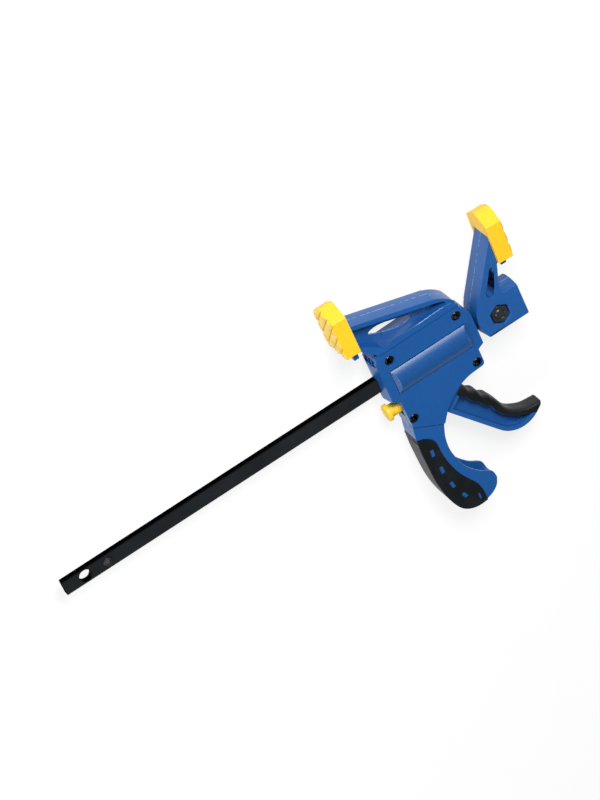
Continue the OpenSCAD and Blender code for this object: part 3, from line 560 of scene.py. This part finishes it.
@dataclass
class Rounding:
    """Rounds the sharp edges of a mesh and marks the new faces on outer edges, which the finishes
    paint as worn and, on plastics, as painted highlight.
    """

    radius: float
    segments: int = 2
    sharp: float = math.radians(35)
    tries: int = 5
    least_turn: float = 0.3
    least_room: float = 2.1
    keep_off: float = 3.0
    farthest: float = 0.75

    def _clearance(self, edge: BMEdge, face: BMFace) -> float:
        """Distance from the edge's middle straight across the face to its far side."""
        middle = (edge.verts[0].co + edge.verts[1].co) / 2
        along = (edge.verts[1].co - edge.verts[0].co).normalized()
        inward = face.normal.cross(along)
        inside = sum((v.co for v in face.verts), Vector()) / len(face.verts) - middle
        if len(face.verts) == 3 and inside.dot(inward) < 0:
            inward = -inward
        least = math.inf
        for other in face.edges:
            if other is edge:
                continue
            ends = [v.co - middle for v in other.verts]
            sides = [end.dot(along) for end in ends]
            if sides[0] * sides[1] > 0:
                continue
            span = sides[0] - sides[1]
            share = 0.5 if abs(span) < NO_LENGTH else sides[0] / span
            across = abs(ends[0].lerp(ends[1], share).dot(inward))
            least = min(least, across)
        return least

    def _chosen(self, mesh: BMesh, spoiled: Sequence[Vector]) -> list[BMEdge]:
        """The sharp edges that have room for the rounding."""
        chosen = []
        for edge in mesh.edges:
            if not edge.is_manifold or edge.calc_face_angle(0.0) < self.sharp:
                continue
            middle = (edge.verts[0].co + edge.verts[1].co) / 2
            reach = self.radius * self.keep_off + edge.calc_length() / 2
            if any((middle - spot).length < reach for spot in spoiled):
                continue
            room = min(self._clearance(edge, face) for face in edge.link_faces)
            if room > self.least_room * self.radius:
                chosen.append(edge)
        return chosen

    def apply(self, mesh: BMesh) -> BMesh:
        """Rounds a copy of the mesh, leaving out edges where the rounding would tear it.

        Args:
            mesh: The closed shape. It is freed.

        Returns:
            The rounded shape.
        """
        outside = BVHTree.FromBMesh(mesh)
        spoiled: list[Vector] = []
        for _ in range(self.tries):
            trial = mesh.copy()
            trial.normal_update()
            edges = self._chosen(trial, spoiled)
            made = bmesh.ops.bevel(
                trial, geom=edges, offset=self.radius, offset_type="OFFSET", affect="EDGES",
                segments=self.segments, profile=0.5, material=-1, clamp_overlap=False)
            strays = [v.co.copy() for v in made["verts"] if self._stray(outside, v.co)]
            strays += [
                f.calc_center_median() for f in made["faces"]
                if f.is_valid and self._folded(outside, f)]
            if not strays:
                break
            spoiled.extend(strays)
        mark = trial.faces.layers.float.new(EDGE_MARK)
        for face in made["faces"]:
            if face.is_valid and self._outer(outside, face):
                face[mark] = 1.0
        mesh.free()
        return trial

    def _stray(self, outside: BVHTree, spot: Vector) -> bool:
        """Whether a corner lies too far from the shape's first surface."""
        found = outside.find_nearest(spot)
        return found[0] is None or found[3] > self.radius * self.farthest

    def _folded(self, outside: BVHTree, face: BMFace) -> bool:
        """Whether a new face is turned away from the surface that it rounds."""
        found = outside.find_nearest(face.calc_center_median())
        return face.normal.dot(found[1]) < self.least_turn

    def _outer(self, outside: BVHTree, face: BMFace) -> bool:
        """Whether a new face rounds an outer edge, and not an inner corner."""
        middle = face.calc_center_median()
        spot, normal, _, _ = outside.find_nearest(middle)
        return (middle - spot).dot(normal) < 0


def casting(node: str, radius: float, segments: int = 2) -> BMesh:
    """A copy of a CAD node's shape with its facets merged and its edges rounded.

    Args:
        node: The CAD node.
        radius: Radius of the rounding in metres.
        segments: Steps of the rounding.

    Returns:
        The new shape.
    """
    mesh = bmesh.new()
    mesh.from_mesh(frame["nodes"][node].data)
    bmesh.ops.remove_doubles(mesh, verts=mesh.verts, dist=WELD)
    bmesh.ops.dissolve_degenerate(mesh, edges=mesh.edges, dist=WELD)
    bmesh.ops.dissolve_limit(mesh, angle_limit=FLAT, verts=mesh.verts, edges=mesh.edges)
    return Rounding(radius, segments).apply(mesh)


def rider(node: str) -> str:
    """The CAD body that a node moves with."""
    bodies = frame["record"]["behaviour"]["bodies"]
    return next(body for body, members in bodies.items() if node in members)


def finish_piece(mesh: BMesh, name: str, node: str, material: bpy.types.Material,
                 smooth_below: float = 32.0, stands_for: bool = True) -> bpy.types.Object:
    """Turns a finished shape into a piece of the clamp.

    Args:
        mesh: The shape. It is freed.
        name: The piece's name.
        node: The CAD node that the piece belongs to.
        material: The finish.
        smooth_below: Edges flatter than this many degrees are shaded smoothly.
        stands_for: Whether the piece replaces the node.

    Returns:
        The piece.
    """
    for face in mesh.faces:
        face.smooth = True
    data = bpy.data.meshes.new(name)
    mesh.to_mesh(data)
    mesh.free()
    data.set_sharp_from_angle(angle=math.radians(smooth_below))
    if EDGE_MARK not in data.attributes:
        data.attributes.new(EDGE_MARK, "FLOAT", "FACE")
    data.materials.append(material)
    piece = bpy.data.objects.new(name, data)
    bpy.context.scene.collection.objects.link(piece)
    weighted = piece.modifiers.new("even_shading", "WEIGHTED_NORMAL")
    weighted.keep_sharp = True
    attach(piece, rider(node))
    if stands_for:
        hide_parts(node)
    LOG.info("%s: %d faces", name, len(data.polygons))
    return piece


def soften(mesh: BMesh, voxel: float, rounds: int) -> BMesh:
    """Melts the steps of a shape into smooth rubber.

    Args:
        mesh: The closed shape. It is freed.
        voxel: Size of the even mesh that replaces the shape's own.
        rounds: Rounds of smoothing.

    Returns:
        The soft shape.
    """
    data = bpy.data.meshes.new("soft_shape")
    mesh.to_mesh(data)
    mesh.free()
    blank = bpy.data.objects.new("soft_shape", data)
    bpy.context.scene.collection.objects.link(blank)
    remesh = blank.modifiers.new("even", "REMESH")
    remesh.mode = "VOXEL"
    remesh.voxel_size = voxel
    shape = blank.evaluated_get(bpy.context.evaluated_depsgraph_get()).to_mesh()
    soft = bmesh.new()
    soft.from_mesh(shape)
    bpy.data.objects.remove(blank)
    bpy.data.meshes.remove(data)
    for _ in range(rounds):
        bmesh.ops.smooth_vert(
            soft, verts=soft.verts, factor=0.5, use_axis_x=True, use_axis_y=True, use_axis_z=True)
    return soft


# ---------- sub-assemblies ----------


@dataclass
class Bar:
    """The drawn steel bar and the slotted stop pin near its free end."""

    edge: float = 0.35 * MM
    pin_edge: float = 0.25 * MM

    def build(self, finishes: Finishes) -> None:
        """Builds and dresses the bar and its pin."""
        finish_piece(casting("bar", self.edge), "bar_drawn", "bar", finishes.bar)
        finish_piece(
            casting("stop_pin", self.pin_edge), "stop_pin_rolled", "stop_pin",
            finishes.fastener)


@dataclass
class GripPad:
    """A slip-on pad with slanting blocks, with fine ribs pressed into their tops, which are
    painted paler as painted sheen.

    Known fault: the fixed pad leans, so _block_tops takes a flank's direction for the land's and
    finds about a twentieth of the tops. The rest of that pad's face has no ribs.
    """

    node: str
    edge: float = 0.7 * MM
    rib_pitch: float = 1.8 * MM
    rib_groove: float = 1.0 * MM
    rib_depth: float = 0.42 * MM
    painted_sheen: float = 0.55
    rib_turn: float = math.radians(27)
    block_slope: float = math.cos(math.radians(36))
    block_crown: float = 1.55 * MM
    upright: float = 0.1
    on_line: float = 0.01

    def _facing(self) -> Vector:
        """The direction that the pad's gripping face looks."""
        middle = sum(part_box(self.node), Vector()) / 2
        jaw = sum(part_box("body"), Vector()) / 2
        return Vector((1 if middle.x > jaw.x else -1, 0, 0))

    def _block_tops(self, mesh: BMesh) -> tuple[list[BMFace], Vector]:
        """The crowned tops of the blocks, and the direction that they look."""
        facing = self._facing()
        leaning = [f for f in mesh.faces if f.normal.dot(facing) > self.block_slope]
        outward = max(leaning, key=lambda f: f.calc_center_median().dot(facing)).normal.copy()
        most = max(f.calc_center_median().dot(outward) for f in leaning)
        least = most - self.block_crown
        return [f for f in leaning if f.calc_center_median().dot(outward) > least], outward

    def _press_ribs(self, mesh: BMesh) -> None:
        """Presses the fine grooves between the ribs into the tops of the blocks and marks the tops
        for a painted sheen.
        """
        tops, outward = self._block_tops(mesh)
        middle = sum((f.calc_center_median() for f in tops), Vector()) / len(tops)
        turn = self.rib_turn * self._facing().x
        across = Vector((0, math.cos(turn), math.sin(turn)))
        low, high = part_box(self.node)
        count = int((high - low).length / 2 / self.rib_pitch)
        for k in range(-count, count + 1):
            for side in (-1, 0, 1):
                spot = middle + across * (k * self.rib_pitch + side * self.rib_groove / 2)
                geometry = list(tops)
                geometry += list({e for f in tops for e in f.edges})
                geometry += list({v for f in tops for v in f.verts})
                cut = bmesh.ops.bisect_plane(
                    mesh, geom=geometry, dist=CUT_SLACK, plane_co=spot, plane_no=across)
                tops = [g for g in cut["geom"] if isinstance(g, BMFace)]
        crowned = set(tops)
        mark = mesh.faces.layers.float[EDGE_MARK]
        # The block tops are painted paler toward the pale yellow as painted sheen.
        for face in tops:
            face[mark] = self.painted_sheen
        for vert in {v for f in tops for v in f.verts}:
            place = (vert.co - middle).dot(across) / self.rib_pitch
            walls = [f for f in vert.link_faces if f not in crowned]
            upright = all(abs(f.normal.dot(outward)) < self.upright for f in walls)
            if abs(place - round(place)) < self.on_line and upright:
                vert.co -= outward * self.rib_depth

    def build(self, finishes: Finishes) -> None:
        """Builds and dresses the pad."""
        mesh = casting(self.node, self.edge)
        self._press_ribs(mesh)
        finish_piece(mesh, f"{self.node}_ribbed", self.node, finishes.pad)


@dataclass
class FixedJaw:
    """The jaw at the bar's end with its bolt, nut and bush."""

    edge: float = 0.8 * MM
    metal_edge: float = 0.4 * MM
    bush_edge: float = 0.2 * MM
    bolt_radius: float = 5.0 * MM
    thread_pitch: float = 1.5 * MM
    thread_high: float = 0.55 * MM
    thread_below_end: float = 1.2 * MM
    thread_half_share: float = 0.42
    thread_sunk_share: float = 0.2
    thread_crest_share: float = 0.1
    thread_steps: int = 28

    def _thread(self) -> BMesh:
        """The screw thread on the bolt's end that shows in the nut."""
        low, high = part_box("jaw_bolt")
        nut_low, nut_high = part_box("jaw_nut")
        axis = Vector(((low.x + high.x) / 2, (nut_low.y + nut_high.y) / 2, 0))
        radius = self.bolt_radius - self.thread_high * self.thread_sunk_share
        top = high.z - self.thread_below_end
        turns = int((top - nut_low.z) / self.thread_pitch) - 1
        mesh = bmesh.new()
        half = self.thread_pitch * self.thread_half_share
        corners = [
            axis + Vector((radius - self.thread_high, 0, top)),
            axis + Vector((radius + self.thread_high * self.thread_crest_share, 0, top - half)),
            axis + Vector((radius - self.thread_high, 0, top - 2 * half)),
        ]
        edges = []
        verts = [mesh.verts.new(c) for c in corners]
        for a, b in zip(verts, verts[1:] + verts[:1]):
            edges.append(mesh.edges.new((a, b)))
        steps = turns * self.thread_steps
        start = bmesh.ops.contextual_create(mesh, geom=edges)["faces"]
        bmesh.ops.spin(
            mesh, geom=start, cent=axis, axis=(0, 0, 1), angle=math.tau * turns, steps=steps,
            dvec=(0, 0, -self.thread_pitch / self.thread_steps))
        bmesh.ops.recalc_face_normals(mesh, faces=mesh.faces)
        return mesh

    def build(self, finishes: Finishes) -> None:
        """Builds and dresses the jaw and what fastens it."""
        finish_piece(
            casting("fixed_jaw", self.edge), "fixed_jaw_moulded", "fixed_jaw",
            finishes.jaw)
        GripPad("fixed_pad").build(finishes)
        for node in ("jaw_bolt", "jaw_nut"):
            finish_piece(
                casting(node, self.metal_edge), f"{node}_black", node,
                finishes.fastener)
        finish_piece(
            self._thread(), "jaw_bolt_thread", "jaw_bolt", finishes.fastener,
            stands_for=False)
        finish_piece(
            casting("jaw_bush", self.bush_edge), "jaw_bush_turned", "jaw_bush",
            finishes.plate)


@dataclass
class Housing:
    """Both halves of the body with the moving jaw, the handle, the screws and the steel inside."""

    edge: float = 0.8 * MM
    cover_edge: float = 0.6 * MM
    grip_edge: float = 0.7 * MM
    metal_edge: float = 0.2 * MM

    def build(self, finishes: Finishes) -> None:
        """Builds and dresses the housing."""
        metal = self.metal_edge
        for node, radius, segments, suffix, slot, finish in (
                ("body", self.edge, 2, "moulded", Slot.JAW, finishes.shell),
                ("cover", self.cover_edge, 2, "moulded", Slot.JAW, finishes.shell),
                ("cover_screws", metal, 2, "black", Slot.BOLT, finishes.screw),
                ("handle_grip", self.grip_edge, 3, "soft", Slot.GRIP, finishes.rubber),
                ("bar_liners", metal, 2, "pressed", Slot.STEEL, finishes.plate),
                ("trigger_pin", metal, 2, "ground", Slot.STEEL, finishes.plate)):
            finish_piece(casting(node, radius, segments), f"{node}_{suffix}", node, finish)
        GripPad("moving_pad").build(finishes)


@dataclass
class Trigger:
    """The trigger lever and the soft rubber on it."""

    edge: float = 0.5 * MM
    voxel: float = 0.5 * MM
    smoothing: int = 4

    def build(self, finishes: Finishes) -> None:
        """Builds and dresses the trigger."""
        finish_piece(
            casting("trigger", self.edge), "trigger_moulded", "trigger", finishes.jaw)
        mesh = bmesh.new()
        mesh.from_mesh(frame["nodes"]["trigger_rubber"].data)
        bmesh.ops.remove_doubles(mesh, verts=mesh.verts, dist=WELD)
        soft = soften(mesh, self.voxel, self.smoothing)
        finish_piece(
            soft, "trigger_rubber_soft", "trigger_rubber", finishes.rubber,
            smooth_below=180.0)


@dataclass
class CoilSpring:
    """A wound spring along X with close end turns, in the place of its CAD node."""

    node: str
    turns: int
    wire: float
    joint: str
    travel: float
    sides: int = 12
    steps: int = 32
    close_share: float = 0.35

    def _shape(self) -> BMesh:
        """Winds the wire: a round section swept turn by turn."""
        low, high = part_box(self.node)
        centre = (low + high) / 2
        outer = high.z - low.z
        reach = (outer - self.wire) / 2
        length = high.x - low.x - self.wire
        mesh = bmesh.new()
        facing = Matrix.Translation((low.x + self.wire / 2, centre.y + reach, centre.z))
        bmesh.ops.create_circle(
            mesh, cap_ends=True, segments=self.sides, radius=self.wire / 2, matrix=facing)
        close = self.close_share * length * 0.5 / self.turns
        stretches = [(0.5, close), (self.turns - 1.0, length - 2 * close), (0.5, close)]
        section: list = list(mesh.faces)
        for turns, rise in stretches:
            steps = round(turns * self.steps)
            swept = bmesh.ops.spin(
                mesh, geom=section, cent=(0, centre.y, centre.z), axis=(1, 0, 0),
                angle=math.tau * turns, steps=steps, dvec=(rise / steps, 0, 0))
            section = [g for g in swept["geom_last"] if isinstance(g, BMFace)]
        bmesh.ops.recalc_face_normals(mesh, faces=mesh.faces)
        return mesh

    def build(self, finishes: Finishes) -> None:
        """Builds and dresses the spring."""
        low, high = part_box(self.node)
        piece = finish_piece(
            self._shape(), f"{self.node}_wound", self.node, finishes.spring,
            smooth_below=180.0)
        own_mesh(piece)


@dataclass
class Mechanism:
    """The drive plates, the brake plate and their springs."""

    edge: float = 0.25 * MM

    def build(self, finishes: Finishes) -> None:
        """Builds and dresses the mechanism."""
        for node in ("drive_plates", "brake_plate"):
            finish_piece(
                casting(node, self.edge), f"{node}_stamped", node, finishes.plate)
        CoilSpring("drive_spring", 5, 1.8 * MM, "drive_slide", 8.28 * MM).build(finishes)
        CoilSpring("brake_spring", 4, 1.0 * MM, "brake_hinge", 2.5 * MM).build(finishes)


@dataclass
class ReleaseButton:
    """The button that lets the brake go."""

    edge: float = 0.6 * MM

    def build(self, finishes: Finishes) -> None:
        """Builds and dresses the button."""
        finish_piece(
            casting("release_button", self.edge, 3), "release_button_moulded", "release_button",
            finishes.button)


# ---------- studio ----------


@dataclass(frozen=True)
class Lamp:
    """A soft square lamp."""

    name: str
    place: tuple[float, float, float]
    size: float
    power: float

    def hang(self, target: Vector) -> None:
        """Hangs the lamp so that it faces the target."""
        data = bpy.data.lights.new(self.name, "AREA")
        data.size = self.size
        data.energy = self.power
        lamp = bpy.data.objects.new(self.name, data)
        lamp.location = self.place
        lamp.rotation_mode = "QUATERNION"
        lamp.rotation_quaternion = (target - Vector(self.place)).to_track_quat("-Z", "Y")
        bpy.context.scene.collection.objects.link(lamp)


@dataclass
class Studio:
    """Floor, soft light and the camera at the photograph's viewing angle."""

    focal_pixels: float = 4500.0
    long_side: int = 800
    sensor: float = 36.0
    view_rows: tuple[Colour, ...] = (
        (0.8255, -0.3622, 0.4328), (0.5338, 0.7501, -0.3904), (-0.1832, 0.5534, 0.8125))
    bar_end_seen: tuple[float, float, float] = (-226.1, -179.1, -4294.7)
    bar_end: tuple[float, float, float] = (-269.666, 36.1999, 21.0)
    floor_half: float = 6.0
    floor_drop: float = 0.2 * MM
    floor_greys: tuple[float, float] = (0.74, 0.78)
    floor_glow: float = 1.1
    floor_share: float = 0.75
    sky: float = 0.12
    horizon: tuple[float, float] = (0.03, 0.3)
    lamps: tuple[Lamp, ...] = (
        Lamp("back_lamp", (0.24, 1.42, 1.38), 0.8, 46.0),
        Lamp("side_lamp", (-1.68, -0.6, 0.9), 0.9, 23.0),
    )

    def _camera(self) -> None:
        """Sets the camera from the view solved for the photograph.

        The rows turn a place in the clamp's frame into the camera's, where it looks along -Z, and
        the bar's free end is seen at a known place.
        """
        turn = Matrix(self.view_rows).transposed()
        right, up, _ = (column.normalized() for column in turn.col)
        up = (up - right * up.dot(right)).normalized()
        turn = Matrix((right, up, right.cross(up))).transposed()
        data = bpy.data.cameras.new("photo_camera")
        data.sensor_width = self.sensor
        data.lens = self.sensor * self.focal_pixels / self.long_side
        data.clip_end = 100.0
        camera = bpy.data.objects.new("photo_camera", data)
        place = Vector(self.bar_end) - turn @ Vector(self.bar_end_seen)
        camera.matrix_world = Matrix.Translation(place * MM) @ turn.to_4x4()
        bpy.context.scene.collection.objects.link(camera)
        bpy.context.scene.camera = camera

    def _floor(self) -> None:
        """Lays the pale floor, which glows where a camera, gloss or glass sees it.

        Other rays meet only its diffuse share, so it keeps the clamp's shadow.
        """
        mesh = bmesh.new()
        bmesh.ops.create_grid(mesh, x_segments=1, y_segments=1, size=self.floor_half)
        data = bpy.data.meshes.new("floor")
        mesh.to_mesh(data)
        mesh.free()
        floor = bpy.data.objects.new("floor", data)
        floor.location.z = -self.floor_drop
        bpy.context.scene.collection.objects.link(floor)
        white = bpy.data.materials.new("floor_white")
        graph = Graph(white)
        dark, light = ((grey, grey, grey) for grey in self.floor_greys)
        speck = graph.noise(0.02, 4.0)
        paper = graph.node("ShaderNodeBsdfDiffuse", {}, {"Color": graph.mix(speck, dark, light)})
        glow = graph.node(
            "ShaderNodeEmission", {}, {"Color": (1, 1, 1, 1), "Strength": self.floor_glow})
        share = graph.seen("Camera", "Glossy", "Transmission") * self.floor_share
        both = graph.node(
            "ShaderNodeMixShader", {}, {0: share, 1: paper.outputs[0], 2: glow.outputs[0]})
        graph.node("ShaderNodeOutputMaterial", {}, {"Surface": both.outputs[0]})
        data.materials.append(white)

    def _sky(self) -> None:
        """Lights the studio softly from all round.

        The camera sees it white. A gloss sees it white at the horizon, and dim above.
        """
        world = bpy.data.worlds.new("studio_white")
        bpy.context.scene.world = world
        graph = Graph(world)
        parts = graph.node("ShaderNodeSeparateXYZ", {}, {"Vector": graph.coordinates["Generated"]})
        height = Signal(graph, parts.outputs["Z"])
        backdrop = 1 - height.fade(*self.horizon) * (1 - self.sky)
        straight = graph.seen("Camera")
        gloss = graph.seen("Glossy", "Transmission") * (1 - straight)
        strength = straight + gloss * backdrop + (1 - straight) * (1 - gloss) * self.sky
        light = graph.node(
            "ShaderNodeBackground", {}, {"Color": (1, 1, 1, 1), "Strength": strength})
        graph.node("ShaderNodeOutputWorld", {}, {"Surface": light.outputs[0]})

    def build(self) -> None:
        """Sets up the studio."""
        bpy.context.scene.view_settings.view_transform = "Standard"
        self._camera()
        self._floor()
        self._sky()
        target = sum(CAD_BOX, Vector()) / 2
        for lamp in self.lamps:
            lamp.hang(target)


def main() -> None:
    """Builds the studio and every sub-assembly in order."""
    logging.basicConfig(level=logging.INFO, format="%(message)s")
    Studio().build()
    middle = sum(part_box("fixed_jaw"), Vector()).z / 2
    finishes = paint_finishes(screw_top=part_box("cover_screws")[1].z, parting=middle)
    assemblies: Iterable = (Bar(), FixedJaw(), Housing(), Trigger(), Mechanism(), ReleaseButton())
    for assembly in assemblies:
        LOG.info("building %s", type(assembly).__name__)
        assembly.build(finishes)


if __name__ == "__main__":
    main()
